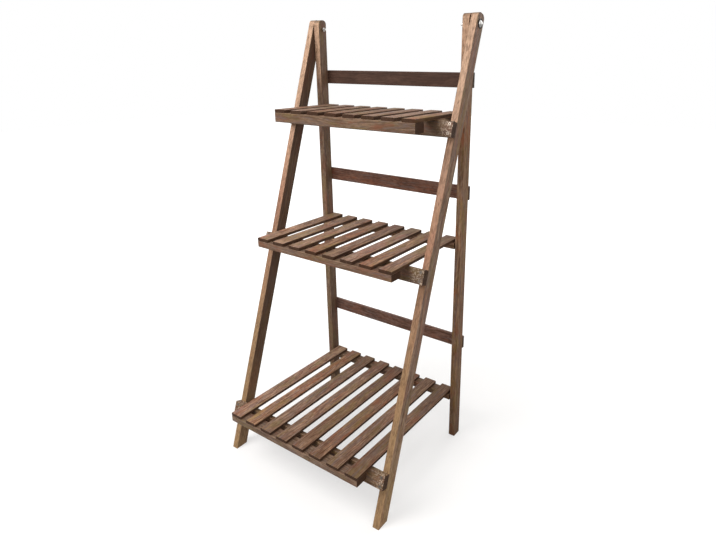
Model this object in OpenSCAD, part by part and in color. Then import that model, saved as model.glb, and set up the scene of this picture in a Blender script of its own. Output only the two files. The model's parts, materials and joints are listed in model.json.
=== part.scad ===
// Folding plant ladder stand: a leaning front frame and an upright rear frame
// joined by two pivot bolts, with three slatted shelves hinged on the rear legs.
// X runs along the shelves, -Y is the front, +Z is up. The origin is on the
// floor, in the middle of the stand's width and depth.

/* [Frame] */
// Width over the outer faces of the front legs
stand_w = 480; // [420:5:560]
// Depth from the front of the bottom shelf to the backs of the rails
stand_d = 423; // [390:1:460]
// Height of the pivot bolts above the floor
pivot_h = 1042; // [1000:1:1150]
// Length of the legs above the pivot bolts
leg_head = 22; // [18:1:28]
// Radius of the two corners at the top of each leg
leg_head_r = 11.5; // [6:0.5:12]

/* [Legs] */
// Thickness of every leg, along X
leg_t = 17; // [15:0.5:19]
// Width of a front leg, across its length
front_leg_w = 30.5; // [29:0.5:33]
// Width of a rear leg, front to back
rear_leg_w = 27; // [24:0.5:28]
// Space between a front leg and the rear leg beside it
leg_gap = 1.5; // [1.2:0.1:3]
// Rounding of the long edges of legs, rungs, rails and slats
edge_r = 1.2; // [0.6:0.1:2]

/* [Rungs and rails] */
// Width of a rung, along the front legs
rung_w = 33; // [30:0.5:36]
// Thickness of a rung
rung_t = 17; // [14:0.5:18]
// Height of a rear rail
rail_w = 33; // [30:0.5:36]
// Thickness of a rear rail
rail_t = 8; // [7:0.5:10]
// Height of the bottom rail's lower edge
bottom_rail_z = 257; // [230:1:300]
// Height of the middle rail's lower edge
middle_rail_z = 653; // [630:1:700]
// Distance from the pivot bolts down to the top rail's upper edge
top_rail_drop = 99; // [80:1:115]

/* [Shelves] */
// Space between a shelf's outer slats and the rear legs
shelf_side_gap = 4.5; // [1:0.5:10]
// Slats in each shelf
slat_count = 8; // [5:1:10]
// Width of a slat
slat_w = 33; // [26:0.5:36]
// Thickness of a slat
slat_t = 8; // [7:0.5:9]
// Height of the bottom shelf's deck
bottom_deck_z = 134; // [120:1:150]
// Height of the middle shelf's deck
middle_deck_z = 559; // [545:1:570]
// Height of the top shelf's deck
top_deck_z = 858; // [850:1:865]
// Reach of the bottom shelf in front of its rung
bottom_overhang = 46.5; // [40:0.5:60]
// Reach of the middle shelf in front of its rung
middle_overhang = 65; // [45:0.5:80]
// Reach of the top shelf in front of its rung
top_overhang = 85; // [45:0.5:95]
// Height of a batten, under the slats
batten_h = 16; // [14:0.5:16.5]
// Height of the top shelf's front batten, a taller board than the others
top_front_batten_h = 22; // [16:0.5:24]
// Front-to-back size of a front batten
front_batten_d = 33; // [28:0.5:36]
// Front-to-back size of a rear batten
rear_batten_d = 26; // [22:0.5:28]

/* [Hardware] */
// Diameter of a pivot bolt's shank
bolt_d = 5; // [5:0.5:6]
// Diameter of a pivot bolt's domed head
bolt_head_d = 14; // [12:0.5:16]
// Height of a pivot bolt's domed head
bolt_head_h = 3.6; // [3:0.1:4.5]
// Diameter of the washer under the domed head
washer_d = 20; // [18:0.5:24]
// Thickness of the washers at a pivot
washer_t = 1.2; // [0.8:0.1:1.2]
// Diameter of the spacer washer between the legs
spacer_d = 16; // [14:0.5:20]
// Size of a pivot nut across its flats
nut_flats = 8; // [8:0.5:10]
// Height of a pivot nut
nut_h = 4; // [3.5:0.1:5]
// Length of a pivot bolt's end past its nut
bolt_end = 5; // [1:0.5:7]
// Diameter of a shelf's hinge pin
pin_d = 5; // [4:0.5:6]
// Depth of a hinge pin in the batten and in the leg
pin_seat = 12; // [9:0.5:13]
// Length of the screws that hold the rungs
rung_screw_l = 40; // [34:1:42]
// Diameter of their shanks
rung_screw_d = 4; // [3.5:0.1:4.5]
// Diameter of their heads
rung_screw_head_d = 7.6; // [7:0.1:9]
// Distance between the two screws at the end of a rung or rail
screw_spacing = 20; // [14:0.5:22]
// Length of the screws that hold the rails
rail_screw_l = 25; // [18:1:30]
// Diameter of their shanks
rail_screw_d = 3.5; // [3:0.1:4]
// Diameter of their heads
rail_screw_head_d = 6.6; // [6:0.1:8]
// Depth that the screws through the battens reach into the slats
slat_screw_bite = 4; // [3:0.5:5]
// Diameter of their shanks
slat_screw_d = 3; // [2.5:0.1:3.5]
// Diameter of their heads
slat_screw_head_d = 5.6; // [5:0.1:7]

/* [Clearances] */
// Space around a fixed shank or pin in its hole
snug = 0.05; // [0.02:0.01:0.1]
// Space around a bolt or pin that turns in its hole
running = 0.08; // [0.05:0.01:0.1]
// Space between the faces of pieces that move past each other
face_gap = 0.3; // [0.2:0.05:0.5]
// Space between the rails and the deck of a shelf that is lifted upright
fold_gap = 1.5; // [1:0.1:3]
// Space between a rear batten's ends and the rear legs
batten_end_gap = 0.6; // [0.4:0.1:1]

/* [Hidden] */
SHELF_NAMES = ["bottom", "middle", "top"];
SLAT_NAMES = [for (s = SHELF_NAMES) for (i = [1:slat_count]) str(s, "_slat_", i)];
$fn = 48;

BOTTOM = 0;
MIDDLE = 1;
TOP = 2;
LEFT = -1;
RIGHT = 1;

// places across the stand
front_leg_x = stand_w / 2 - leg_t / 2;
rear_leg_x = stand_w / 2 - leg_t - leg_gap - leg_t / 2;
rear_inner_x = rear_leg_x - leg_t / 2;
rear_outer_x = rear_leg_x + leg_t / 2;
shelf_w = 2 * (rear_inner_x - shelf_side_gap);
slat_pitch = (shelf_w - slat_w) / (slat_count - 1);
rear_batten_l = 2 * (rear_inner_x - batten_end_gap);

// places front to back: a shelf turns on the middle of its rear batten
rail_front_y = stand_d / 2 - rail_t;
rear_leg_y = rail_front_y - rear_leg_w / 2;
pin_y = rail_front_y - fold_gap - slat_t - batten_h / 2;
slat_back_y = pin_y + rear_batten_d / 2;

// heights and reaches, from the bottom up
deck_z = [bottom_deck_z, middle_deck_z, top_deck_z];
overhang = [bottom_overhang, middle_overhang, top_overhang];
front_batten_h = [batten_h, batten_h, top_front_batten_h];
top_rail_z = pivot_h - top_rail_drop - rail_w;
rail_z = [bottom_rail_z, middle_rail_z, top_rail_z];

function slat_x(i) = -shelf_w / 2 + slat_w / 2 + i * slat_pitch;
function slat_under_z(s) = deck_z[s] - slat_t;
function pin_z(s) = slat_under_z(s) - batten_h / 2;

// A rung's upper front edge lies just under the slats that rest on it. The front
// legs lean as far as the bottom rung needs to carry the bottom shelf.
function rung_edge_z(s) = slat_under_z(s) - face_gap;
rung_face = front_leg_w / 2 + rung_t;
edge_in_front = rear_leg_y + stand_d / 2 - bottom_overhang;
edge_below = pivot_h - rung_edge_z(BOTTOM);
front_lean = atan2(edge_in_front, edge_below) - asin(rung_face / norm([edge_in_front, edge_below]));
front_leg_l = pivot_h / cos(front_lean) + front_leg_w;

// upper edge of a rung, along the front legs from the pivot
function rung_top(s) = (rung_edge_z(s) - pivot_h - rung_face * sin(front_lean)) / cos(front_lean);
function rung_edge_y(s) = rear_leg_y - rung_face * cos(front_lean) + rung_top(s) * sin(front_lean);
function slat_front_y(s) = rung_edge_y(s) - overhang[s];
function shelf_d(s) = slat_back_y - slat_front_y(s);

// ---------- shapes that repeat ----------

// rectangle from the origin with its four corners rounded
module eased_rect(w, h, r = edge_r) {
    translate([r, 0]) square([w - 2 * r, h]);
    translate([0, r]) square([w, h - 2 * r]);
    for (x = [r, w - r], y = [r, h - r])
        translate([x, y]) circle(r = r, $fn = 24);
}

// board with rounded long edges, centred on X and lying along it
module board_along_x(l, d, h) {
    translate([-l / 2, 0, 0])
        rotate([90, 0, 90]) linear_extrude(l) eased_rect(d, h);
}

// outline of a leg seen from the side, with its pivot at the origin
module leg_outline(w, below) {
    translate([-w / 2, -below]) square([w, below + leg_head - leg_head_r]);
    translate([-w / 2 + leg_head_r, 0]) square([w - 2 * leg_head_r, leg_head]);
    for (side = [-1, 1])
        translate([side * (w / 2 - leg_head_r), leg_head - leg_head_r])
            circle(r = leg_head_r);
}

// leg with rounded edges and a rounded top, with its pivot at the origin
module leg_blank(w, below) {
    intersection() {
        translate([-leg_t / 2, 0, 0])
            rotate([90, 0, 90]) linear_extrude(leg_t) leg_outline(w, below);
        translate([-leg_t / 2, -w / 2, -below])
            linear_extrude(below + leg_head) eased_rect(leg_t, w);
    }
}

// rod along X that starts at the origin
module rod_x(l, d) {
    rotate([0, 90, 0]) cylinder(h = l, d = d);
}

// countersunk wood screw with its head's face at the origin and its tip towards +Z
module screw(l, d, head_d) {
    head_h = (head_d - d) / 2;
    tip_h = 1.5 * d;
    slot_w = head_d * 0.16;
    slot_l = head_d * 0.56;
    slot_h = head_h * 0.7;
    difference() {
        union() {
            cylinder(h = head_h, d1 = head_d, d2 = d, $fn = 32);
            cylinder(h = l - tip_h, d = d, $fn = 32);
            translate([0, 0, l - tip_h]) cylinder(h = tip_h, d1 = d, d2 = d * 0.2, $fn = 32);
        }
        for (turn = [0, 90])
            rotate(turn) translate([-slot_l / 2, -slot_w / 2, -1]) cube([slot_l, slot_w, 1 + slot_h]);
    }
}

// hole for a countersunk screw, cut from the face at the origin towards +Z
module screw_hole(l, d, head_d) {
    head_h = (head_d - d) / 2;
    translate([0, 0, -1]) cylinder(h = l + 1, d = d + 2 * snug, $fn = 32);
    cylinder(h = head_h, d1 = head_d + 2 * snug, d2 = d + 2 * snug, $fn = 32);
    translate([0, 0, -1]) cylinder(h = 1, d = head_d + 2 * snug, $fn = 32);
}

// ---------- rear frame ----------

// puts its children at both screws of each end of a rail, pointing to the front
module at_rail_screws(s) {
    for (side = [LEFT, RIGHT], up = [-1, 1])
        translate([side * rear_leg_x, stand_d / 2, rail_z[s] + rail_w / 2 + up * screw_spacing / 2])
            rotate([90, 0, 0]) children();
}

module rail_screw_holes(s) {
    at_rail_screws(s) screw_hole(rail_screw_l + snug, rail_screw_d, rail_screw_head_d);
}

module rail(s) {
    color("#5a3e36") difference() {
        translate([0, rail_front_y, rail_z[s]]) board_along_x(2 * rear_outer_x, rail_t, rail_w);
        rail_screw_holes(s);
    }
}

module rail_screws() {
    color("#b9babb") for (s = [BOTTOM, MIDDLE, TOP])
        at_rail_screws(s) screw(rail_screw_l, rail_screw_d, rail_screw_head_d);
}

module rear_leg(side) {
    color("#6e5b4c") difference() {
        translate([side * rear_leg_x, rear_leg_y, pivot_h]) leg_blank(rear_leg_w, pivot_h);
        translate([side * rear_leg_x - leg_t, rear_leg_y, pivot_h]) rod_x(2 * leg_t, bolt_d + 2 * running);
        for (s = [BOTTOM, MIDDLE, TOP]) {
            rail_screw_holes(s);
            pin_bore(s, side, running);
        }
    }
}

// washer between a front leg and a rear leg, lying on the rear leg
module pivot_spacers() {
    color("#9a9b9c") for (side = [LEFT, RIGHT])
        mirror([side == LEFT ? 1 : 0, 0, 0])
            translate([rear_outer_x, rear_leg_y, pivot_h]) difference() {
                rod_x(washer_t, spacer_d);
                translate([-1, 0, 0]) rod_x(washer_t + 2, bolt_d + 2 * running);
            }
}

// ---------- front frame ----------

// moves its children from the leaning frame's own axes, pivot at the origin, to the stand
module in_front_frame() {
    translate([0, rear_leg_y, pivot_h]) rotate([-front_lean, 0, 0]) children();
}

// puts its children at both screws of each end of a rung, pointing to the back
module at_rung_screws(s) {
    in_front_frame() for (side = [LEFT, RIGHT], up = [-1, 1])
        translate([side * front_leg_x, -rung_face, rung_top(s) - rung_w / 2 + up * screw_spacing / 2])
            rotate([-90, 0, 0]) children();
}

module rung_screw_holes(s) {
    at_rung_screws(s) screw_hole(rung_screw_l + snug, rung_screw_d, rung_screw_head_d);
}

module rung(s) {
    color("#8c7058") difference() {
        in_front_frame() translate([0, -rung_face, rung_top(s) - rung_w]) board_along_x(stand_w, rung_t, rung_w);
        rung_screw_holes(s);
    }
}

module rung_screws() {
    color("#c9cacb") for (s = [BOTTOM, MIDDLE, TOP])
        at_rung_screws(s) screw(rung_screw_l, rung_screw_d, rung_screw_head_d);
}

module front_leg(side) {
    floor_block = 4 * front_leg_w;
    color("#d5a68c") difference() {
        in_front_frame() translate([side * front_leg_x, 0, 0]) leg_blank(front_leg_w, front_leg_l);
        // the foot is sawn level with the floor
        translate([side * front_leg_x - leg_t, -stand_d, -floor_block])
            cube([2 * leg_t, 2 * stand_d, floor_block]);
        translate([side * front_leg_x - leg_t, rear_leg_y, pivot_h]) rod_x(2 * leg_t, bolt_d + 2 * snug);
        for (s = [BOTTOM, MIDDLE, TOP]) rung_screw_holes(s);
    }
}

module pivot_washers() {
    color("#3a3632") for (side = [LEFT, RIGHT])
        mirror([side == LEFT ? 1 : 0, 0, 0])
            translate([stand_w / 2, rear_leg_y, pivot_h]) difference() {
                rod_x(washer_t, washer_d);
                translate([-1, 0, 0]) rod_x(washer_t + 2, bolt_d + 2 * snug);
            }
}

// smooth domed head, with its flat at the origin and its crown towards +X
module bolt_head() {
    base_r = bolt_head_d / 2;
    ball_r = (base_r * base_r + bolt_head_h * bolt_head_h) / (2 * bolt_head_h);
    rotate([0, 90, 0]) rotate_extrude() intersection() {
        translate([0, bolt_head_h - ball_r]) circle(r = ball_r, $fn = 96);
        square([base_r, bolt_head_h]);
    }
}

// carriage bolt through both legs of a side, with its end standing out of the nut
module pivot_bolts() {
    shank_in_x = nut_in_x() - bolt_end;
    color("#c9cacb") for (side = [LEFT, RIGHT])
        mirror([side == LEFT ? 1 : 0, 0, 0]) {
            translate([stand_w / 2 + washer_t, rear_leg_y, pivot_h]) bolt_head();
            translate([shank_in_x, rear_leg_y, pivot_h])
                rod_x(stand_w / 2 + washer_t - shank_in_x, bolt_d);
        }
}

function nut_in_x() = rear_inner_x - face_gap - nut_h;

module pivot_nuts() {
    hex_d = nut_flats / cos(30);
    color("#c9cacb") for (side = [LEFT, RIGHT])
        mirror([side == LEFT ? 1 : 0, 0, 0])
            translate([nut_in_x(), rear_leg_y, pivot_h]) difference() {
                rotate([0, 90, 0]) cylinder(h = nut_h, d = hex_d, $fn = 6);
                translate([-1, 0, 0]) rod_x(nut_h + 2, bolt_d + 2 * snug);
            }
}

// ---------- shelves ----------

// bore for a hinge pin, from the batten into the leg of one side
module pin_bore(s, side, space) {
    mirror([side == LEFT ? 1 : 0, 0, 0])
        translate([rear_inner_x - batten_end_gap - pin_seat - snug, pin_y, pin_z(s)])
            rod_x(2 * pin_seat + batten_end_gap + 2 * snug, pin_d + 2 * space);
}

module hinge_pins(s) {
    color("#9a9b9c") for (side = [LEFT, RIGHT])
        mirror([side == LEFT ? 1 : 0, 0, 0])
            translate([rear_inner_x - batten_end_gap - pin_seat, pin_y, pin_z(s)])
                rod_x(2 * pin_seat + batten_end_gap, pin_d);
}

// the screw row in each of a shelf's two battens: its place front to back and the batten's height
function screw_rows(s) = [
    [slat_front_y(s) + front_batten_d / 2, front_batten_h[s]],
    [pin_y + rear_batten_d / 4, batten_h]
];

// puts its children below each slat of a screw row, pointing up
module at_slat_screws(s, row) {
    for (i = [0:slat_count - 1])
        translate([slat_x(i), row[0], slat_under_z(s) - row[1]]) children();
}

module slat_screw_holes(s) {
    for (row = screw_rows(s)) at_slat_screws(s, row)
        screw_hole(row[1] + slat_screw_bite + snug, slat_screw_d, slat_screw_head_d);
}

module slat_screws(s) {
    color("#b9babb") for (row = screw_rows(s)) at_slat_screws(s, row)
        screw(row[1] + slat_screw_bite, slat_screw_d, slat_screw_head_d);
}

module slat(s, i) {
    color("#8a6c5a") difference() {
        translate([slat_x(i) - slat_w / 2, slat_back_y, slat_under_z(s)])
            rotate([90, 0, 0]) linear_extrude(shelf_d(s)) eased_rect(slat_w, slat_t);
        slat_screw_holes(s);
    }
}

module front_batten(s) {
    color("#7a5f50") difference() {
        translate([0, slat_front_y(s), slat_under_z(s) - front_batten_h[s]])
            board_along_x(shelf_w, front_batten_d, front_batten_h[s]);
        slat_screw_holes(s);
    }
}

module rear_batten(s) {
    color("#7a5f50") difference() {
        translate([0, slat_back_y - rear_batten_d, slat_under_z(s) - batten_h])
            board_along_x(rear_batten_l, rear_batten_d, batten_h);
        slat_screw_holes(s);
        for (side = [LEFT, RIGHT]) pin_bore(s, side, snug);
    }
}

// ---------- the nodes ----------

rear_leg(LEFT);  // rear_leg_left
rear_leg(RIGHT);  // rear_leg_right
rail(BOTTOM);  // bottom_rail
rail(MIDDLE);  // middle_rail
rail(TOP);  // top_rail
rail_screws();
pivot_spacers();

front_leg(LEFT);  // front_leg_left
front_leg(RIGHT);  // front_leg_right
rung(BOTTOM);  // bottom_rung
rung(MIDDLE);  // middle_rung
rung(TOP);  // top_rung
rung_screws();
pivot_bolts();
pivot_washers();
pivot_nuts();

for (s = [BOTTOM, MIDDLE, TOP]) {
    front_batten(s);
    rear_batten(s);
    slat_screws(s);
    hinge_pins(s);
    for (i = [0:slat_count - 1])
        slat(s, i);
}
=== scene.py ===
"""Looks of a folding plant ladder stand: oiled acacia boards, plated screws and pivot bolts."""
import json
import math

import bmesh
import bpy
from bpy.props import FloatProperty, FloatVectorProperty, PointerProperty
from mathutils import Matrix, Vector


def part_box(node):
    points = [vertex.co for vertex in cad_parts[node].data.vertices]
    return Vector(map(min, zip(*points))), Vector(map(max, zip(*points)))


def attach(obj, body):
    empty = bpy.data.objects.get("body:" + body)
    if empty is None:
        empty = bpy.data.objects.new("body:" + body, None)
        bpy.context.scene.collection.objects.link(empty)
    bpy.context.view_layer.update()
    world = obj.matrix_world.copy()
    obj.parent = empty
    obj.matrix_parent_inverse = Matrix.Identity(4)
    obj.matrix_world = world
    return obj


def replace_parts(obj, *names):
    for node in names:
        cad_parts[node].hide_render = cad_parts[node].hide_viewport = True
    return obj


bl_info = {
    "name": "Plant Ladder Stand",
    "version": (1, 0, 0),
    "blender": (4, 5, 0),
    "location": "View3D > Sidebar > Plant Stand",
    "description": "Finishes a folding three-shelf plant stand in oiled acacia",
    "category": "Add Mesh",
}

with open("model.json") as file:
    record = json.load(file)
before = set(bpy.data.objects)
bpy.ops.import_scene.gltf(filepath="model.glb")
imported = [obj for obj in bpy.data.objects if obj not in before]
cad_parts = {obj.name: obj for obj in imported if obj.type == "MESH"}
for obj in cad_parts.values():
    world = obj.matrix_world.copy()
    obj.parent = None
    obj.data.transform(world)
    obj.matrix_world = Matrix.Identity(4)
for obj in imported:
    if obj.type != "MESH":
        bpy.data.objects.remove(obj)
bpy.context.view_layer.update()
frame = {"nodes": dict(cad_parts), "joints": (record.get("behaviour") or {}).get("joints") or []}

MM = 0.001
SHELVES = ("bottom", "middle", "top")
SIDES = ("left", "right")
IMAGE_WIDTH = 716
IMAGE_HEIGHT = 540
SENSOR_WIDTH_MM = 36.0
# degrees: the front frame closes by as much as it leans
LEAN = next(j["range_deg"][1] for j in frame["joints"] if j["name"] == "front_fold")


# ---------- sizes read from the frame ----------

def middle(node):
    """Centre of a CAD node's box."""
    low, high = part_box(node)
    return (low + high) / 2


def solids(node):
    """Corner points of each separate solid in a CAD node, in a fixed order."""
    shape = bmesh.new()
    shape.from_mesh(frame["nodes"][node].data)
    bmesh.ops.remove_doubles(shape, verts=shape.verts, dist=MM / 1000)
    seen = set()
    found = []
    for first in shape.verts:
        if first in seen:
            continue
        seen.add(first)
        reached = [first]
        for vertex in reached:
            for edge in vertex.link_edges:
                other = edge.other_vert(vertex)
                if other not in seen:
                    seen.add(other)
                    reached.append(other)
        found.append([vertex.co.copy() for vertex in reached])
    shape.free()
    return sorted(found, key=lambda points: [round(sum(p[i] for p in points) / len(points), 4)
                                             for i in range(3)])


def leaning(vector):
    """Turns a vector from the front frame's own axes to the stand's."""
    return Matrix.Rotation(math.radians(-LEAN), 3, "X") @ Vector(vector)


# ---------- colours and nodes ----------

def linear(value):
    """An sRGB hex colour such as "8a6c5a" as the linear RGBA that shaders take."""
    channels = [int(value[i:i + 2], 16) / 255 for i in (0, 2, 4)]
    channels = [c / 12.92 if c <= 0.04045 else ((c + 0.055) / 1.055) ** 2.4 for c in channels]
    return (*channels, 1.0)


def add(tree, kind, inputs=None, **settings):
    """Adds a node with its settings and links.

    inputs maps a socket's name or number to a value, to another node's output, or to another
    node, which stands for its first output in use.
    """
    node = tree.nodes.new(kind)
    for name, value in settings.items():
        setattr(node, name, value)
    for key, value in (inputs or {}).items():
        if isinstance(value, bpy.types.Node):
            value = next(output for output in value.outputs if output.enabled)
        if isinstance(value, bpy.types.NodeSocket):
            tree.links.new(value, node.inputs[key])
        else:
            node.inputs[key].default_value = value
    return node


MATH = "ShaderNodeMath"
VECTORS = "ShaderNodeVectorMath"
RANGE = "ShaderNodeMapRange"    # inputs 0 to 4: value, from low, from high, to low, to high
MIX = "ShaderNodeMix"           # as RGBA, inputs 0, 6 and 7: share, first colour, second colour
NOISE = "ShaderNodeTexNoise"
SPLIT = "ShaderNodeSeparateXYZ"
JOIN = "ShaderNodeCombineXYZ"
PLACE = "ShaderNodeTexCoord"


def lay_over(tree, under, over, value, start, full, share=1.0):
    """Lays one colour over another: none of it where a value is start, its share at full."""
    cover = add(tree, RANGE, {0: value, 1: start, 2: full, 4: share})
    return add(tree, MIX, {0: cover, 6: under, 7: over}, data_type="RGBA")


def new_material(name):
    """An empty node material with its shader and output joined: (material, tree, shader)."""
    material = bpy.data.materials.new(name)
    material.use_nodes = True
    tree = material.node_tree
    tree.nodes.clear()
    shader = add(tree, "ShaderNodeBsdfPrincipled")
    add(tree, "ShaderNodeOutputMaterial", {"Surface": shader})
    return material, tree, shader


def coat(node, material):
    """Gives a CAD node one material."""
    mesh = frame["nodes"][node].data
    mesh.materials.clear()
    mesh.materials.append(material)


# ---------- timber ----------

# Acacia, sawn and wiped with a brown oil. The grain is solid: growth rings round a pith that
# lies off the board, so faces show long figure and the sawn ends show arcs, as cut timber does.
# Boards differ a lot in tone. The oil lies in patches, and is dark where it soaked in.
RING_MM = 5.5              # yearly growth
STREAK_MM = (5.0, 70.0)    # colour streaks: across and along the grain
PORE_MM = (1.8, 16.0)      # dark dashes, drawn wider than real pores so that they show
PATCH_MM = (26.0, 80.0)    # patches where the wood took more or less oil
GRIME_MM = (4.0, 13.0)     # grime in the saw marks, drawn coarser than it is so that it shows
SPECK_MM = 3.5             # torn fibres where an end is scuffed, also drawn coarser
BEND_MM = 200.0            # the tree's grain bends about once in this length

# layers of colour: the value at which each starts, the value at which it is fullest and, for
# some, the most that it covers. The first five are values of noises, which lie about 0.5.
DARK_FIGURE = (0.6, 0.94)
OIL_PATCH = (0.5, 0.62)
GRIME = (0.56, 0.3, 0.6)
PORES = (0.56, 0.66, 0.7)
TORN = (0.5, 0.62)
INNER_FACE = (-0.1, -0.18)   # metres out from the stand's middle, negative on faces towards it
SQUARE_FACE = (0.7, 0.95)    # this and the next two are cosines: how squarely a face looks
EASED_EDGE = (0.96, 0.8)     # along the board's own axes, or in front's case, forwards
FRONT_FACE = (0.8, 0.97)

RING_SHARE = 0.22            # how much the rings add to the streaks' figure
DRIFT_SHARE = 0.35           # and how much a slow drift in tone does
DULLEST, LIVELIEST = 0.88, 1.08   # saturation of single boards
END_SHARE = 0.9              # how far a sawn end goes to its dark colour
SCUFF_SHARE = 0.8            # how far a scuff's specks go to their pale one
SCUFF_FADE = 0.03            # metres in which the scuffs set in
PORE_DEPTH = 0.9             # pores sink about as far as the streaks stand up
OIL_SHEEN = 0.2              # an oiled face has less of a surface film than the default 0.5

# metres off the pith, and up the trunk: where boards start, and how far they spread from there
PITH_START = (0.03, 0.02, 0.0)
PITH_SPREAD = (0.11, 0.09, 3.0)
BEND_REACH = (0.03, 0.03, 0.0)

# one number for each kind of board; each gives the boards of its kind their tones, which are
# the real stand's as near as chance gives them
BOARD_SEEDS = {
    "front_leg": 753.0, "rear_leg": 1601.0, "rung": 3773.0, "rail": 2672.0, "top_rail": 7.0,
    "batten": 1765.0, "bottom_slat": 2995.0, "middle_slat": 3033.0, "top_slat": 2332.0,
}

# rotations that bring a board's length to Z
ALONG_X = (0.0, math.radians(-90), 0.0)
ALONG_Y = (math.radians(90), 0.0, 0.0)
ALONG_Z = (0.0, 0.0, 0.0)
ALONG_LEAN = (math.radians(LEAN), 0.0, 0.0)
ACROSS_LEAN = (math.radians(LEAN), math.radians(-90), 0.0)

# cells of the grids that tell boards apart, in metres
ONE_CELL = 5.0     # wider than the stand: boards aren't told apart this way
SIDE_CELL = 1.0    # with its line moved between two boards, tells left from right, front from rear
SHELF_CELL = 0.3   # less than the height between two shelves


def long_noise(tree, place, sizes_mm, detail):
    """Colours that wander across and, more slowly, along the grain, which runs along Z here."""
    across, along = (1 / (size * MM) for size in sizes_mm)
    scaled = add(tree, VECTORS, {0: place, 1: (across, across, along)}, operation="MULTIPLY")
    noise = add(tree, NOISE, {"Vector": scaled, "Scale": 1.0, "Detail": detail, "Roughness": 0.6})
    return add(tree, "ShaderNodeSeparateColor", {0: noise.outputs["Color"]}).outputs


def place_in_log(tree, here, turn, cells, offset, seed):
    """Where each board was cut from the tree, and the chance numbers that the board drew."""
    shifted = add(tree, VECTORS, {0: here["Object"], 1: offset})
    cell = add(tree, VECTORS, {0: shifted, 1: cells}, operation="SNAP")
    chance = add(tree, "ShaderNodeTexWhiteNoise", {"Vector": cell, "W": seed},
                 noise_dimensions="4D").outputs["Color"]
    off_pith = add(tree, VECTORS, {0: chance, 1: PITH_SPREAD, 2: PITH_START},
                   operation="MULTIPLY_ADD")
    turned = add(tree, "ShaderNodeVectorRotate", {"Vector": here["Object"], "Rotation": turn},
                 rotation_type="EULER_XYZ")
    straight = add(tree, VECTORS, {0: turned, 1: off_pith})

    # the tree didn't grow straight
    drift = add(tree, NOISE, {"Vector": straight, "Scale": 1 / (BEND_MM * MM),
                              "Detail": 2.0}).outputs["Color"]
    place = add(tree, VECTORS, {0: drift, 1: BEND_REACH, 2: straight}, operation="MULTIPLY_ADD")
    return place, add(tree, "ShaderNodeSeparateColor", {0: chance}).outputs


def rub_front(tree, wood, here, height, figure, front):
    """Lays bare wood over the faces that look one way, more or less of it at each height."""
    direction, (low, colour, bare), *levels = front
    towards = add(tree, VECTORS, {0: here["Normal"], 1: direction}, operation="DOT_PRODUCT")
    faces = add(tree, RANGE, {0: towards, 1: FRONT_FACE[0], 2: FRONT_FACE[1]})
    for high, next_colour, next_bare in levels:
        rise = add(tree, RANGE, {0: height, 1: low, 2: high})
        colour = add(tree, MIX, {0: rise, 6: colour, 7: next_colour}, data_type="RGBA")
        bare = add(tree, MIX, {0: rise, 2: bare, 3: next_bare}, data_type="FLOAT")
        low = high
    # the dark grain stays where the light grain has been rubbed
    grain = add(tree, RANGE, {0: figure, 1: 1.0, 2: 0.65, 3: 0.62, 4: 1.0})
    bare = add(tree, MATH, {0: bare, 1: grain}, operation="MULTIPLY")
    bare = add(tree, MATH, {0: bare, 1: faces}, operation="MULTIPLY")
    return add(tree, MIX, {0: bare, 6: wood, 7: colour}, data_type="RGBA")


def scuff_ends(tree, wood, here, sideways, scuffed):
    """Strews specks of torn wood over the ends of boards that lie across the stand."""
    start, colour = scuffed
    out = add(tree, MATH, {0: sideways}, operation="ABSOLUTE")
    near = add(tree, RANGE, {0: out, 1: start, 2: start + SCUFF_FADE, 4: SCUFF_SHARE})
    specks = add(tree, NOISE, {"Vector": here["Object"], "Scale": 1 / (SPECK_MM * MM)})
    torn = add(tree, RANGE, {0: specks, 1: TORN[0], 2: TORN[1]})
    torn = add(tree, MATH, {0: near, 1: torn}, operation="MULTIPLY")
    return add(tree, MIX, {0: torn, 6: wood, 7: colour}, data_type="RGBA")


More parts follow.
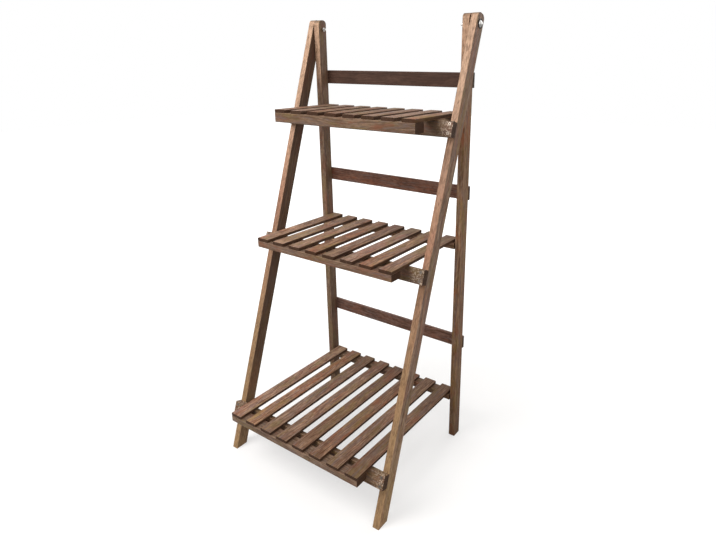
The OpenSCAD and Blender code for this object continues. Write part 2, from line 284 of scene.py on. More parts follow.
def timber(name, oiled, turn, cells, offset, seed, roughness, sides=0.0, inside=0.0, front=None,
           tones=(0.76, 1.18), creep=None, scuffed=None):
    """Sawn acacia, oiled brown.

    oiled: colours of the light wood, dark wood, red, olive and grey patches, and sawn ends; the
    last also gives the painted shade on slats' edges and battens' tops and bottoms.
    turn: rotation that brings the board's length to Z. cells, offset: grid that tells boards
    of this kind apart, so that each one is cut from another part of the tree; seed: which.
    tones: how dark and how light single boards turn out, as a share of their colour.
    sides: painted shade, how much darker a slat's edges, or a batten's top and bottom, are, for
    the gaps between slats.
    inside: how much darker the faces towards the middle of the stand are.
    front: the direction of a rubbed front face, then its height, colour and bareness at rising
    levels. creep: a colour that creeps in from one end: the axis, where it starts and where it
    is fullest, the colour and its share. scuffed: distance from the middle of the stand past
    which a board is scuffed, and the colour of its specks.
    """
    light, dark, red, olive, grey, ends = oiled
    material, tree, shader = new_material(name)
    here = add(tree, PLACE).outputs
    point = add(tree, SPLIT, {0: here["Object"]}).outputs
    place, own = place_in_log(tree, here, turn, cells, offset, seed)

    # a ring wave repeats every 2 pi / (20 scale) metres
    rings = add(tree, "ShaderNodeTexWave",
                {"Vector": place, "Scale": math.tau / (20 * RING_MM * MM), "Distortion": 2.2,
                 "Detail": 2.0, "Detail Scale": 0.5},
                wave_type="RINGS", rings_direction="Z", wave_profile="SAW").outputs["Fac"]
    streaks = long_noise(tree, place, STREAK_MM, 4.0)
    pores = long_noise(tree, place, PORE_MM, 2.0)
    patches = long_noise(tree, place, PATCH_MM, 3.0)
    grime = long_noise(tree, place, GRIME_MM, 5.0)

    # wood, then patches and flecks of oil, then the board's own tone
    figure = add(tree, MATH, {0: rings, 1: RING_SHARE, 2: streaks[0]}, operation="MULTIPLY_ADD")
    figure = add(tree, MATH, {0: patches[2], 1: DRIFT_SHARE, 2: figure}, operation="MULTIPLY_ADD")
    wood = lay_over(tree, light, dark, figure, *DARK_FIGURE)
    for noise, colour, share in ((patches[0], red, 0.7), (patches[1], olive, 0.75),
                                 (streaks[1], grey, 0.75), (grime[1], red, 0.3),
                                 (grime[2], light, 0.25)):
        wood = lay_over(tree, wood, colour, noise, *OIL_PATCH, share)
    wood = add(tree, "ShaderNodeHueSaturation",
               {"Saturation": add(tree, RANGE, {0: own[1], 3: DULLEST, 4: LIVELIEST}),
                "Value": add(tree, RANGE, {0: own[2], 3: tones[0], 4: tones[1]}), "Color": wood})

    # what use has done to this kind of board
    if inside:
        sidelong = add(tree, VECTORS, {0: here["Object"], 1: here["Normal"]}, operation="MULTIPLY")
        outwards = add(tree, SPLIT, {0: sidelong}).outputs[0]
        wood = lay_over(tree, wood, ends, outwards, *INNER_FACE, inside)
    if creep:
        axis, start, fullest, colour, share = creep
        wood = lay_over(tree, wood, colour, point[axis], start, fullest, share)
    if front:
        wood = rub_front(tree, wood, here, point[2], figure, front)
    if scuffed:
        wood = scuff_ends(tree, wood, here, point[0], scuffed)

    # grime and pores lie over everything
    wood = lay_over(tree, wood, dark, grime[0], *GRIME)
    wood = lay_over(tree, wood, dark, pores[0], *PORES)

    # the sawn ends drink the oil and turn dark; a slat's edges, and a batten's top and bottom, are
    # darkened as painted shade for the gaps between slats
    facing = add(tree, "ShaderNodeVectorRotate", {"Vector": here["Normal"], "Rotation": turn},
                 rotation_type="EULER_XYZ")
    facing = add(tree, VECTORS, {0: facing}, operation="ABSOLUTE")
    squareness = add(tree, SPLIT, {0: facing}).outputs
    for square, share in ((squareness[0], sides), (squareness[2], END_SHARE)):
        if share:
            wood = lay_over(tree, wood, ends, square, *SQUARE_FACE, share)

    # eased edges are the only places that face no side of the board squarely: they wear pale
    squarely = add(tree, MATH, {0: squareness[0], 1: squareness[1]}, operation="MAXIMUM")
    squarely = add(tree, MATH, {0: squarely, 1: squareness[2]}, operation="MAXIMUM")
    eased = add(tree, RANGE, {0: squarely, 1: EASED_EDGE[0], 2: EASED_EDGE[1]})
    worn = add(tree, RANGE, {0: patches[2], 1: 0.36, 2: 0.6, 3: 0.1, 4: 0.75})
    worn = add(tree, MATH, {0: eased, 1: worn}, operation="MULTIPLY")
    wood = add(tree, MIX, {0: worn, 6: wood, 7: light}, data_type="RGBA")
    tree.links.new(wood.outputs[2], shader.inputs["Base Color"])

    # oiled, so the dense late wood shines a little more than the pores
    rough = add(tree, RANGE, {0: streaks[0], 1: 0.3, 2: 0.7,
                              3: roughness - 0.06, 4: roughness + 0.1})
    tree.links.new(rough.outputs[0], shader.inputs["Roughness"])
    shader.inputs["Specular IOR Level"].default_value = OIL_SHEEN
    height = add(tree, MATH, {0: pores[0], 1: -PORE_DEPTH, 2: streaks[0]},
                 operation="MULTIPLY_ADD")
    relief = add(tree, "ShaderNodeBump", {"Strength": 0.4, "Distance": 0.6 * MM, "Height": height})
    tree.links.new(relief.outputs[0], shader.inputs["Normal"])
    return material


# ---------- metal ----------

# Mild steel fittings. Bright zinc gives the pivot bolts a hard white glint, and the blackened
# washers a dark ring round it. The screws' thin plating has gone dull, so they are soft grey
# dots in the wood. The hinge pins are bare.
CLOUD_MM = 3.84615    # patches where the plating is thinner
MARK_MM = 0.714286    # handling marks, drawn coarser than they are so that they show
CLOUDED = (0.35, 0.7)
THIN_PLATE = 0.7      # how bright the thinner plating is, as a share of the colour


def plated_steel(name, colour, roughness):
    """Steel with a thin plating: faintly cloudy, with fine handling marks."""
    material, tree, shader = new_material(name)
    here = add(tree, PLACE).outputs["Object"]
    cloud = add(tree, NOISE, {"Vector": here, "Scale": 1 / (CLOUD_MM * MM), "Detail": 3.0})
    marks = add(tree, NOISE, {"Vector": here, "Scale": 1 / (MARK_MM * MM), "Detail": 2.0})
    shade = (*(channel * THIN_PLATE for channel in colour[:3]), 1.0)
    plate = lay_over(tree, colour, shade, cloud, *CLOUDED)
    tree.links.new(plate.outputs[2], shader.inputs["Base Color"])
    dull = add(tree, RANGE, {0: marks, 3: roughness, 4: roughness + 0.12})
    tree.links.new(dull.outputs[0], shader.inputs["Roughness"])
    shader.inputs["Metallic"].default_value = 1.0
    relief = add(tree, "ShaderNodeBump", {"Strength": 0.1, "Distance": 0.2 * MM, "Height": marks})
    tree.links.new(relief.outputs[0], shader.inputs["Normal"])
    return material


# ---------- geometry trees ----------

WHOLE = "NodeSocketInt"
LENGTH = "NodeSocketFloat"
DIRECTION = "NodeSocketVector"
FINISH = "NodeSocketMaterial"
SANDING_WAVES = (60.0, 14.0, 60.0)   # to the metre: 17 mm across a slat, 71 mm along it
SEED_STEP = 7.3                      # how far apart two seeds lie in the sanding's noise
SCREW_FACETS = 24
TIP_WIDTH = 0.25                     # end of a screw's tip, as a share of its shank
BLADE_TAPER = 0.3                    # end of a recess's blade, as a share of its top


def new_shape_tree(name, sockets, from_mesh=False):
    """A geometry tree with named inputs, given as (name, socket type): (tree, inputs, output)."""
    tree = bpy.data.node_groups.new(name, "GeometryNodeTree")
    if from_mesh:
        tree.interface.new_socket("Geometry", in_out="INPUT", socket_type="NodeSocketGeometry")
    for label, kind in sockets:
        tree.interface.new_socket(label, in_out="INPUT", socket_type=kind)
    tree.interface.new_socket("Geometry", in_out="OUTPUT", socket_type="NodeSocketGeometry")
    given = add(tree, "NodeGroupInput").outputs
    made = add(tree, "NodeGroupOutput")
    return tree, given, made


def shape_from_tree(name, tree, values, body, points=()):
    """Runs a geometry tree on loose points and keeps its result as a plain mesh on a body."""
    point_mesh = bpy.data.meshes.new(name + "_points")
    point_mesh.from_pydata([tuple(p) for p in points], [], [])
    maker = bpy.data.objects.new(name + "_maker", point_mesh)
    bpy.context.scene.collection.objects.link(maker)
    modifier = maker.modifiers.new("shape", "NODES")
    modifier.node_group = tree
    for item in tree.interface.items_tree:
        if item.in_out == "INPUT" and item.name in values:
            modifier[item.identifier] = values[item.name]
    graph = bpy.context.evaluated_depsgraph_get()
    mesh = bpy.data.meshes.new_from_object(maker.evaluated_get(graph), depsgraph=graph)
    mesh.name = name
    bpy.data.objects.remove(maker)
    bpy.data.meshes.remove(point_mesh)
    piece = bpy.data.objects.new(name, mesh)
    bpy.context.scene.collection.objects.link(piece)
    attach(piece, body)
    return piece


def slat_deck_tree():
    """Slats side by side, each a board with eased edges and hand-sanded, slightly uneven faces."""
    tree, given, made = new_shape_tree("slat_deck", [
        ("First Slat", DIRECTION), ("Count", WHOLE), ("Pitch", LENGTH), ("Width", LENGTH),
        ("Thickness", LENGTH), ("Depth", LENGTH), ("Edge Radius", LENGTH),
        ("Unevenness", LENGTH), ("Ring Spacing", LENGTH), ("Seed", WHOLE), ("Material", FINISH),
    ])
    outline = add(tree, "GeometryNodeCurvePrimitiveQuadrilateral",
                  {"Width": given["Width"], "Height": given["Thickness"]})
    eased = add(tree, "GeometryNodeFilletCurve",
                {"Curve": outline, "Count": 3, "Radius": given["Edge Radius"]}, mode="POLY")
    back = add(tree, JOIN, {1: given["Depth"]})
    spine = add(tree, "GeometryNodeCurvePrimitiveLine", {"End": back})
    rings = add(tree, "GeometryNodeResampleCurve",
                {"Curve": spine, "Length": given["Ring Spacing"]}, mode="LENGTH")
    upright = add(tree, "GeometryNodeSetCurveNormal", {"Curve": rings}, mode="Z_UP")
    board = add(tree, "GeometryNodeCurveToMesh",
                {"Curve": upright, "Profile Curve": eased, "Fill Caps": True})
    step = add(tree, JOIN, {0: given["Pitch"]})
    row = add(tree, "GeometryNodeMeshLine",
              {"Count": given["Count"], "Start Location": given["First Slat"], "Offset": step})
    slats = add(tree, "GeometryNodeInstanceOnPoints", {"Points": row, "Instance": board})
    loose = add(tree, "GeometryNodeRealizeInstances", {"Geometry": slats})

    # sanding only takes wood away, so faces move inwards, in waves along the grain
    here = add(tree, "GeometryNodeInputPosition")
    seeded = add(tree, MATH, {0: given["Seed"], 1: SEED_STEP}, operation="MULTIPLY")
    aside = add(tree, JOIN, {2: seeded})
    stretched = add(tree, VECTORS, {0: here, 1: SANDING_WAVES, 2: aside},
                    operation="MULTIPLY_ADD")
    waves = add(tree, NOISE, {"Vector": stretched, "Scale": 1.0, "Detail": 2.0}).outputs["Fac"]
    depth = add(tree, MATH, {0: waves, 1: given["Unevenness"]}, operation="MULTIPLY")
    inwards = add(tree, MATH, {0: depth, 1: -1.0}, operation="MULTIPLY")
    out = add(tree, "GeometryNodeInputNormal").outputs[0]
    push = add(tree, VECTORS, {0: out, "Scale": inwards}, operation="SCALE")
    sanded = add(tree, "GeometryNodeSetPosition", {"Geometry": loose, "Offset": push})
    finished = add(tree, "GeometryNodeSetMaterial",
                   {"Geometry": sanded, "Material": given["Material"]})
    tree.links.new(finished.outputs[0], made.inputs[0])
    return tree


def screw_tree():
    """Countersunk screws with a cross recess, each driven home at its own turn."""
    tree, given, made = new_shape_tree("countersunk_screws", [
        ("Inwards", DIRECTION), ("Head", LENGTH), ("Head Depth", LENGTH), ("Rim", LENGTH),
        ("Shank", LENGTH), ("Length", LENGTH), ("Tip", LENGTH), ("Recess", LENGTH),
        ("Recess Width", LENGTH), ("Recess Depth", LENGTH), ("Seed", WHOLE),
        ("Material", FINISH),
    ], from_mesh=True)
    radius = add(tree, MATH, {0: given["Head"], 1: 0.5}, operation="MULTIPLY")
    rim = add(tree, "GeometryNodeMeshCylinder",
              {"Vertices": SCREW_FACETS, "Radius": radius, "Depth": given["Rim"]},
              fill_type="NGON")
    cone = add(tree, MATH, {0: given["Head Depth"], 1: given["Rim"]}, operation="SUBTRACT")
    past_head = add(tree, MATH, {0: given["Length"], 1: given["Head Depth"]}, operation="SUBTRACT")
    straight = add(tree, MATH, {0: past_head, 1: given["Tip"]}, operation="SUBTRACT")
    narrowing = add(tree, MATH, {0: given["Shank"], 1: given["Head"]}, operation="DIVIDE")
    blank, end = rim.outputs["Mesh"], rim.outputs["Top"]
    for reach, scale in ((cone, narrowing), (straight, 1.0), (given["Tip"], TIP_WIDTH)):
        drawn = add(tree, "GeometryNodeExtrudeMesh",
                    {"Mesh": blank, "Selection": end, "Offset Scale": reach}, mode="FACES")
        end = drawn.outputs["Top"]
        blank = add(tree, "GeometryNodeScaleElements",
                    {"Geometry": drawn, "Selection": end, "Scale": scale}, domain="FACE")

    # the cross recess: two tapered blades cut into the head, each a square cone made slim
    slimness = add(tree, MATH, {0: given["Recess Width"], 1: given["Recess"]}, operation="DIVIDE")
    corner_radius = add(tree, MATH, {0: given["Recess"], 1: math.sqrt(0.5)}, operation="MULTIPLY")
    blade_depth = add(tree, MATH, {0: given["Recess Depth"], 1: 2.0}, operation="MULTIPLY")
    tip_radius = add(tree, MATH, {0: corner_radius, 1: BLADE_TAPER}, operation="MULTIPLY")
    blade = add(tree, "GeometryNodeMeshCone",
                {"Vertices": 4, "Radius Bottom": corner_radius, "Radius Top": tip_radius,
                 "Depth": blade_depth}, fill_type="NGON")
    lowered = add(tree, MATH, {0: given["Recess Depth"], 1: -1.0}, operation="MULTIPLY")
    below = add(tree, JOIN, {2: lowered})
    squared = add(tree, "GeometryNodeTransform",
                  {"Geometry": blade.outputs["Mesh"], "Translation": below,
                   "Rotation": (0.0, 0.0, math.radians(45))})
    narrow = add(tree, JOIN, {0: 1.0, 1: slimness, 2: 1.0})
    slim = add(tree, "GeometryNodeTransform", {"Geometry": squared, "Scale": narrow})
    crossed = add(tree, "GeometryNodeTransform",
                  {"Geometry": slim, "Rotation": (0.0, 0.0, math.radians(90))})
    screw = add(tree, "GeometryNodeMeshBoolean", {"Mesh 1": blank},
                operation="DIFFERENCE", solver="EXACT")
    for part in (slim, crossed):
        tree.links.new(part.outputs[0], screw.inputs["Mesh 2"])

    driven = add(tree, "FunctionNodeAlignRotationToVector", {"Vector": given["Inwards"]}, axis="Z")
    turn = add(tree, "FunctionNodeRandomValue", {3: math.tau, "Seed": given["Seed"]},
               data_type="FLOAT")
    spin = add(tree, "FunctionNodeAxisAngleToRotation", {"Axis": (0.0, 0.0, 1.0), "Angle": turn})
    turned = add(tree, "FunctionNodeRotateRotation", {"Rotation": driven, "Rotate By": spin},
                 rotation_space="LOCAL")
    placed = add(tree, "GeometryNodeInstanceOnPoints",
                 {"Points": given["Geometry"], "Instance": screw, "Rotation": turned})
    loose = add(tree, "GeometryNodeRealizeInstances", {"Geometry": placed})
    finished = add(tree, "GeometryNodeSetMaterial",
                   {"Geometry": loose, "Material": given["Material"]})
    tree.links.new(finished.outputs[0], made.inputs[0])
    return tree


# ---------- what a user can change ----------

def tint(label, note, value):
    """A colour that a user can change, written in sRGB hex."""
    return FloatVectorProperty(
        name=label, description=note, size=4, subtype="COLOR", min=0.0, max=1.0,
        default=linear(value),
    )


class StandTimber(bpy.types.PropertyGroup):
    """Colours of the oiled acacia."""
    slat_light: tint("Slat Light", "Light wood of the slats", "b48f72")
    slat_dark: tint("Slat Dark", "Dark grain of the slats", "593c2a")
    frame_light: tint("Frame Light", "Light wood of legs, rungs and battens", "a98a70")
    frame_dark: tint("Frame Dark", "Dark grain of legs, rungs and battens", "634a36")
    rail_light: tint("Rail Light", "Light wood of the lower rails", "8c6552")
    rail_dark: tint("Rail Dark", "Dark grain of the lower rails", "55382c")
    top_light: tint("Top Rail Light", "Light wood of the top rail", "684a3b")
    top_dark: tint("Top Rail Dark", "Dark grain of the top rail", "432e23")
    foot: tint("Feet", "Bare wood that shows at the front legs' feet", "c49e70")
    front_low: tint("Front Edge, Low", "Rubbed front edges of the legs near the floor", "aa875f")
    front_mid: tint("Front Edge, Middle", "Rubbed front edges of the legs half way up", "b9876c")
    front_high: tint("Front Edge, High", "Rubbed front edges of the legs near the top", "d2aa8c")
    red: tint("Red Patch", "Reddish patches in the oil", "8f563c")
    olive: tint("Olive Patch", "Olive patches in the oil", "867045")
    grey: tint("Grey Patch", "Greyish patches in the oil", "7a6862")
    scuff: tint("Scuff", "Raw wood in the scuffs near the rungs' ends", "cdb8a2")
    # the sawn ends' colour also serves as painted shade: in the gaps between slats, towards the
    # slats' rear ends and down the rear legs
    ends: tint("Sawn Ends", "Dark sawn ends of the boards", "38200f")
    roughness: FloatProperty(
        name="Roughness", description="Roughness of the oiled faces", subtype="FACTOR",
        default=0.56, min=0.2, max=1.0)


class StandDeck(bpy.types.PropertyGroup):
    """Sizes of the slats that the frame doesn't give."""
    edge: FloatProperty(
        name="Edge Radius", description="Rounding of a slat's long edges", unit="LENGTH",
        default=1.2 * MM)
    uneven: FloatProperty(
        name="Unevenness", description="Deepest sanding mark in a slat's face", unit="LENGTH",
        default=0.35 * MM)
    ring: FloatProperty(
        name="Ring Spacing", description="Distance between a slat's mesh rings", unit="LENGTH",
        default=7.0 * MM)


class StandMetal(bpy.types.PropertyGroup):
    """Colours of the metal pieces, and sizes of the screws that the frame doesn't give."""
    bolt: tint("Bolt", "Bright plate of the pivot bolts", "dcdad6")
    screw: tint("Screw", "Dull plate of the wood screws", "8c7f74")
    pin: tint("Pin Steel", "Plain steel of the hinge pins", "a4a5a6")
    black: tint("Black Steel", "Blackened washers", "3a3430")
    rim: FloatProperty(
        name="Screw Rim", description="Height of a screw head's straight rim", unit="LENGTH",
        default=0.25 * MM)
    recess: FloatProperty(
        name="Recess", description="Cross recess's width, as a share of the head",
        subtype="FACTOR", default=0.58, min=0.0, max=1.0)
    recess_depth: FloatProperty(
        name="Recess Depth", description="Cross recess's depth, as a share of the head's width",
        subtype="FACTOR", default=0.25, min=0.0, max=1.0)
    blade: FloatProperty(
        name="Recess Blade", description="Width of one blade of the cross recess", unit="LENGTH",
        default=0.9 * MM)


class StandStage(bpy.types.PropertyGroup):
    """Camera, lamps and floor."""
    camera_place: FloatVectorProperty(
        name="Camera", description="Place of the camera", size=3, subtype="TRANSLATION",
        default=(0.8039, -0.9243, 0.9731))
    camera_turn: FloatProperty(
        name="Turn", description="How far the camera is turned to the left", subtype="ANGLE",
        default=math.radians(34.51))
    camera_tilt: FloatProperty(
        name="Tilt", description="How far the camera looks down", subtype="ANGLE",
        default=math.radians(18.63))
    focal_px: FloatProperty(
        name="Focal Length", description="Focal length in image pixels", subtype="PIXEL",
        default=545.7)
    centre_x: FloatProperty(
        name="Axis X", description="Pixel column of the lens axis", subtype="PIXEL",
        default=401.1)
    centre_y: FloatProperty(
        name="Axis Y", description="Pixel row of the lens axis", subtype="PIXEL", default=242.1)
    overhead: FloatProperty(
        name="Overhead Light", description="World's strength straight above", default=0.72)
    level: FloatProperty(
        name="Level Light", description="World's strength at eye level", default=0.25)
    key: FloatProperty(
        name="Key", description="Power of the large soft lamp", unit="POWER", default=44.0)
    floor: tint("Floor", "Colour of the floor", "b9b7b5")


# ---------- operators ----------

# name, place and diameter in metres, and power as a share of the key lamp's
LAMPS = (
    ("key", (-0.8, -1.3, 2.3), 1.6, 1.0),
    ("fill", (2.2, -1.8, 1.5), 1.8, 0.3),
    ("back", (0.6, 2.4, 1.8), 1.8, 0.4),
)
LAMP_TARGET = Vector((0.0, 0.0, 0.6))   # the middle of the stand
FLOOR_WIDTH = 16.0                      # metres, far past the picture's edge
PAPER_FADE = (0.3, 1.8, 0.55, 1.0)      # from and to metres off the middle, and the lift there


class STAND_OT_stage(bpy.types.Operator):
    """Makes the camera, the lamps, the world and the floor"""
    bl_idname = "stand.stage"
    bl_label = "Stage"

    def execute(self, context):
        stage = context.scene.stand_stage
        self.camera(context, stage)
        self.light(context, stage)
        self.floor(context, stage)
        context.scene.view_settings.view_transform = "Standard"
        return {"FINISHED"}

    def camera(self, context, stage):
        """A camera whose frame is the image, with the lens axis at its own pixel."""
        lens = bpy.data.cameras.new("camera")
        lens.sensor_fit = "HORIZONTAL"
        lens.sensor_width = SENSOR_WIDTH_MM
        lens.lens = stage.focal_px / IMAGE_WIDTH * SENSOR_WIDTH_MM
        lens.shift_x = (IMAGE_WIDTH / 2 - stage.centre_x) / IMAGE_WIDTH
        lens.shift_y = (stage.centre_y - IMAGE_HEIGHT / 2) / IMAGE_WIDTH
        lens.clip_start = 50 * MM
        camera = bpy.data.objects.new("camera", lens)
        context.scene.collection.objects.link(camera)
        turn, tilt = stage.camera_turn, stage.camera_tilt
        ahead = Vector((-math.sin(turn) * math.cos(tilt), math.cos(turn) * math.cos(tilt),
                        -math.sin(tilt)))
        right = Vector((math.cos(turn), math.sin(turn), 0.0))
        up = right.cross(ahead)
        camera.matrix_world = Matrix.Translation(stage.camera_place) @ Matrix(
            (right, up, -ahead)).transposed().to_4x4()
        context.scene.camera = camera

    def lamp(self, context, name, place, size, power):
        """A round soft lamp that looks at the middle of the stand."""
        data = bpy.data.lights.new(name, "AREA")
        data.shape = "DISK"
        data.size = size
        data.energy = power
        lamp = bpy.data.objects.new(name, data)
        context.scene.collection.objects.link(lamp)
        lamp.location = place
        towards = LAMP_TARGET - Vector(place)
        lamp.rotation_euler = towards.to_track_quat("-Z", "Y").to_euler()

    def light(self, context, stage):
        """Three lamps, and a world that is soft light to the stand and white to the camera."""
        for name, place, size, share in LAMPS:
            self.lamp(context, name, place, size, stage.key * share)
        world = bpy.data.worlds.new("studio")
        world.use_nodes = True
        tree = world.node_tree
        tree.nodes.clear()
        path = add(tree, "ShaderNodeLightPath").outputs
        seen = add(tree, MATH, {0: path["Is Camera Ray"], 1: path["Is Glossy Ray"]},
                   operation="MAXIMUM")
        seen = add(tree, MATH, {0: seen, 1: path["Is Transmission Ray"]}, operation="MAXIMUM")
        upwards = add(tree, SPLIT, {0: add(tree, PLACE).outputs["Generated"]}).outputs[2]
        strength = add(tree, RANGE, {0: upwards, 3: stage.level, 4: stage.overhead})
        soft = add(tree, "ShaderNodeBackground", {"Color": (1, 1, 1, 1), "Strength": strength})
        white = add(tree, "ShaderNodeBackground", {"Color": (1, 1, 1, 1), "Strength": 1.0})
        both = add(tree, "ShaderNodeMixShader", {0: seen, 1: soft, 2: white})
        add(tree, "ShaderNodeOutputWorld", {"Surface": both})
        context.scene.world = world

    def floor(self, context, stage):
        """A wide sheet of matt paper that keeps the stand's shadow."""
        half = FLOOR_WIDTH / 2
        mesh = bpy.data.meshes.new("floor")
        mesh.from_pydata([(-half, -half, 0), (half, -half, 0), (half, half, 0), (-half, half, 0)],
                         [], [(0, 1, 2, 3)])
        floor = bpy.data.objects.new("floor", mesh)
        context.scene.collection.objects.link(floor)
        material, tree, shader = new_material("pale_paper_floor")
        shader.inputs["Base Color"].default_value = stage.floor
        shader.inputs["Roughness"].default_value = 0.9
        shader.inputs["Specular IOR Level"].default_value = 0.0
        # the camera sees the paper fade to white away from the stand and its shadow
        away = add(tree, VECTORS, {0: add(tree, PLACE).outputs["Object"]}, operation="LENGTH")
        near, far, least, most = PAPER_FADE
        fade = add(tree, RANGE, {0: away, 1: near, 2: far, 3: least, 4: most})
        camera_ray = add(tree, "ShaderNodeLightPath").outputs["Is Camera Ray"]
        lift = add(tree, MATH, {0: camera_ray, 1: fade}, operation="MULTIPLY")
        shader.inputs["Emission Color"].default_value = (1, 1, 1, 1)
        tree.links.new(lift.outputs[0], shader.inputs["Emission Strength"])
        mesh.materials.append(material)


class STAND_OT_frames(bpy.types.Operator):
    """Finishes the legs, rungs, rails and battens in oiled acacia"""
    bl_idname = "stand.frames"
    bl_label = "Legs, Rungs and Rails"

    def execute(self, context):
        colours = context.scene.stand_timber
        self.legs(colours)
        self.crosspieces(colours)
        return {"FINISHED"}

    def legs(self, t):
        """Legs: rubbed pale in front, dark inside, with bare front feet, and rear legs that darken
        towards the floor as painted shade.
        """
        oiled = (t.frame_light, t.frame_dark, t.red, t.olive, t.grey, t.ends)
        grid = ((SIDE_CELL, ONE_CELL, ONE_CELL), (SIDE_CELL, ONE_CELL / 2, 1.0))
        forwards = (0.0, -1.0, 0.0)
        front = timber(
            "oiled_acacia_front_leg", oiled, ALONG_LEAN, *grid, BOARD_SEEDS["front_leg"],
            t.roughness, inside=0.55, creep=(2, 0.25, 0.0, t.foot, 0.55),
            front=(tuple(leaning(forwards)), (0.3, t.front_low, 0.85), (0.6, t.front_mid, 0.8),
                   (0.92, t.front_high, 0.95)))
        # painted shade: the rear legs darken from 450 mm down to the floor
        rear = timber(
            "oiled_acacia_rear_leg", oiled, ALONG_Z, *grid, BOARD_SEEDS["rear_leg"],
            t.roughness, inside=0.2, creep=(2, 0.45, 0.0, t.ends, 0.5),
            front=(forwards, (0.9, t.front_high, 0.0), (0.95, t.front_high, 0.85)))
        for side in SIDES:
            coat(f"front_leg_{side}", front)
            coat(f"rear_leg_{side}", rear)

    def crosspieces(self, t):
        """Rungs, rails and battens: the rungs scuffed at their ends, the top rail a dark board."""
        oiled = (t.frame_light, t.frame_dark, t.red, t.olive, t.grey, t.ends)
        rail_oiled = (t.rail_light, t.rail_dark, t.red, t.rail_light, t.grey, t.ends)
        top_oiled = (t.top_light, t.top_dark, t.rail_dark, t.top_light, t.rail_dark, t.ends)
        grid = ((ONE_CELL, ONE_CELL, SHELF_CELL), (ONE_CELL / 2, ONE_CELL / 2, 0.0))
        # a line 100 mm behind the middle tells front battens from rear ones
        batten_grid = ((ONE_CELL, SIDE_CELL, SHELF_CELL), (ONE_CELL / 2, -0.1, 0.0))
        # painted shade: the rungs' tones run darker than other boards', for the shade under the
        # shelves
        rung = timber("oiled_acacia_rung", oiled, ACROSS_LEAN, *grid, BOARD_SEEDS["rung"],
                      t.roughness, tones=(0.57, 0.93), scuffed=(0.2, t.scuff))
        rail = timber("oiled_acacia_rail", rail_oiled, ALONG_X, *grid, BOARD_SEEDS["rail"],
                      t.roughness)
        top_rail = timber("dark_oiled_acacia_rail", top_oiled, ALONG_X, *grid,
                          BOARD_SEEDS["top_rail"], t.roughness)
        # painted shade: the battens' tops and bottoms are darkened for the gaps between the slats
        batten = timber("oiled_acacia_batten", oiled, ALONG_X, *batten_grid,
                        BOARD_SEEDS["batten"], t.roughness, sides=0.3)
        for shelf in SHELVES:
            coat(f"{shelf}_rung", rung)
            coat(f"{shelf}_rail", top_rail if shelf == "top" else rail)
            coat(f"{shelf}_front_batten", batten)
            coat(f"{shelf}_rear_batten", batten)


class STAND_OT_decks(bpy.types.Operator):
    """Makes the three slatted decks"""
    bl_idname = "stand.decks"
    bl_label = "Slatted Decks"

    def execute(self, context):
        t, deck = context.scene.stand_timber, context.scene.stand_deck
        oiled = (t.slat_light, t.slat_dark, t.red, t.olive, t.grey, t.ends)
        count = sum(name.startswith("bottom_slat_") and name[-1].isdigit()
                    for name in frame["nodes"])
        first, last = middle("bottom_slat_1"), middle(f"bottom_slat_{count}")
        pitch = (last.x - first.x) / (count - 1)
        tree = slat_deck_tree()
        for number, shelf in enumerate(SHELVES):
            # painted shade: the slats' edges darken for the gaps between them, and the slats
            # darken towards their rear ends, where the back of the deck lies in shade
            wood = timber(f"oiled_acacia_{shelf}_slat", oiled, ALONG_Y,
                          (pitch, ONE_CELL, SHELF_CELL),
                          (pitch / 2 - first.x, ONE_CELL / 2, 0.0), BOARD_SEEDS[f"{shelf}_slat"],
                          t.roughness, sides=0.75, tones=(0.6, 1.25),
                          creep=(1, 0.05, 0.2, t.ends, 0.32))
            low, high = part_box(f"{shelf}_slat_1")
            values = {
                "First Slat": ((low.x + high.x) / 2, low.y, (low.z + high.z) / 2),
                "Count": count, "Pitch": pitch, "Width": high.x - low.x,
                "Thickness": high.z - low.z, "Depth": high.y - low.y,
                "Edge Radius": deck.edge, "Unevenness": deck.uneven, "Ring Spacing": deck.ring,
                "Seed": number, "Material": wood,
            }
            piece = shape_from_tree(f"{shelf}_slats", tree, values, f"{shelf}_shelf")
            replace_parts(piece, *(f"{shelf}_slat_{i + 1}" for i in range(count)))
        return {"FINISHED"}


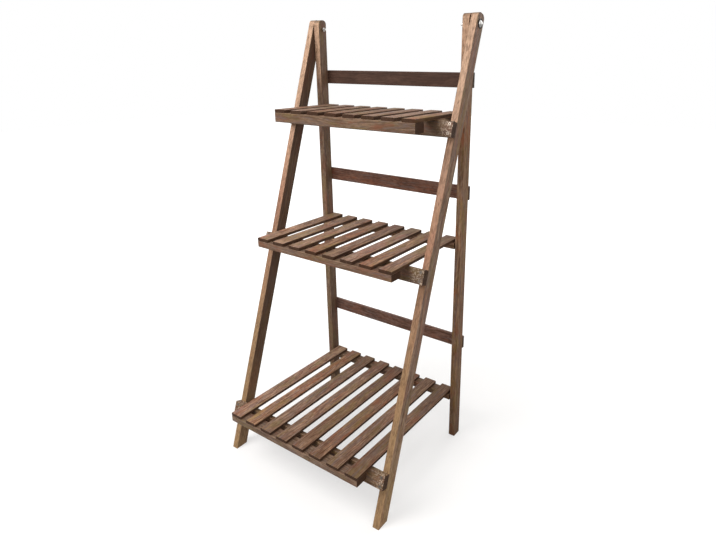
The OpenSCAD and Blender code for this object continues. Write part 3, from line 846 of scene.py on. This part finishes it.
class STAND_OT_hardware(bpy.types.Operator):
    """Finishes the screws, pivot bolts, nuts, washers and hinge pins"""
    bl_idname = "stand.hardware"
    bl_label = "Metal Pieces"

    def execute(self, context):
        metal = context.scene.stand_metal
        self.fittings(metal)
        self.screws(metal)
        return {"FINISHED"}

    def fittings(self, metal):
        """Pivot bolts, nuts, washers, spacers and hinge pins."""
        bright = plated_steel("bright_zinc_plated_bolt", metal.bolt, 0.2)
        pin = plated_steel("plain_steel_pin", metal.pin, 0.3)
        black = plated_steel("blackened_steel_washer", metal.black, 0.45)
        for node in ("pivot_bolts", "pivot_nuts", "pivot_spacers"):
            coat(node, bright)
        coat("pivot_washers", black)
        for shelf in SHELVES:
            coat(f"{shelf}_hinge_pins", pin)

    def screws(self, metal):
        """Screws with cross recesses, in the places and sizes of the plain ones in the frame."""
        dull = plated_steel("dull_plated_wood_screw", metal.screw, 0.36)
        tree = screw_tree()
        groups = [("rung_screws", "front_frame", leaning((0.0, 1.0, 0.0))),
                  ("rail_screws", "rear_frame", Vector((0.0, -1.0, 0.0)))]
        groups += [(f"{shelf}_slat_screws", f"{shelf}_shelf", Vector((0.0, 0.0, 1.0)))
                   for shelf in SHELVES]
        for seed, (node, body, inwards) in enumerate(groups):
            places = []
            for points in solids(node):
                depths = [p.dot(inwards) for p in points]
                start, end = min(depths), max(depths)
                tip = [p for p, depth in zip(points, depths) if depth > end - MM / 100]
                centre = sum(tip, Vector()) / len(tip)
                places.append(centre + inwards * (start + metal.rim / 2 - end))
            # a node's screws are all alike, so the last one gives the sizes
            reaches = [((p - centre) - inwards * (p - centre).dot(inwards)).length for p in points]
            head, shank = 2 * max(reaches), 2 * max((p - centre).length for p in tip)
            values = {
                "Inwards": inwards, "Head": head, "Head Depth": (head - shank) / 2 + metal.rim,
                "Rim": metal.rim, "Shank": shank, "Length": end - start - metal.rim / 2,
                "Tip": shank, "Recess": head * metal.recess, "Recess Width": metal.blade,
                "Recess Depth": head * metal.recess_depth, "Seed": seed, "Material": dull,
            }
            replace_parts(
                shape_from_tree(node + "_driven", tree, values, body, places), node)


class STAND_PT_panel(bpy.types.Panel):
    """Steps that finish the plant stand"""
    bl_idname = "STAND_PT_panel"
    bl_label = "Plant Stand"
    bl_space_type = "VIEW_3D"
    bl_region_type = "UI"
    bl_category = "Plant Stand"

    def draw(self, context):
        for operator in OPERATORS:
            self.layout.operator(operator.bl_idname)


OPERATORS = (STAND_OT_stage, STAND_OT_frames, STAND_OT_decks, STAND_OT_hardware)
GROUPS = (
    ("stand_timber", StandTimber), ("stand_deck", StandDeck),
    ("stand_metal", StandMetal), ("stand_stage", StandStage),
)


def register():
    """Registers the settings, the operators and the panel."""
    for _, group in GROUPS:
        bpy.utils.register_class(group)
    for operator in OPERATORS:
        bpy.utils.register_class(operator)
    bpy.utils.register_class(STAND_PT_panel)
    for name, group in GROUPS:
        setattr(bpy.types.Scene, name, PointerProperty(type=group))


def unregister():
    """Takes back what register does."""
    for name, _ in GROUPS:
        delattr(bpy.types.Scene, name)
    bpy.utils.unregister_class(STAND_PT_panel)
    for operator in reversed(OPERATORS):
        bpy.utils.unregister_class(operator)
    for _, group in reversed(GROUPS):
        bpy.utils.unregister_class(group)


def main():
    """Finishes the stand."""
    register()
    bpy.ops.stand.stage()
    bpy.ops.stand.frames()
    bpy.ops.stand.decks()
    bpy.ops.stand.hardware()


if __name__ == "__main__":
    main()
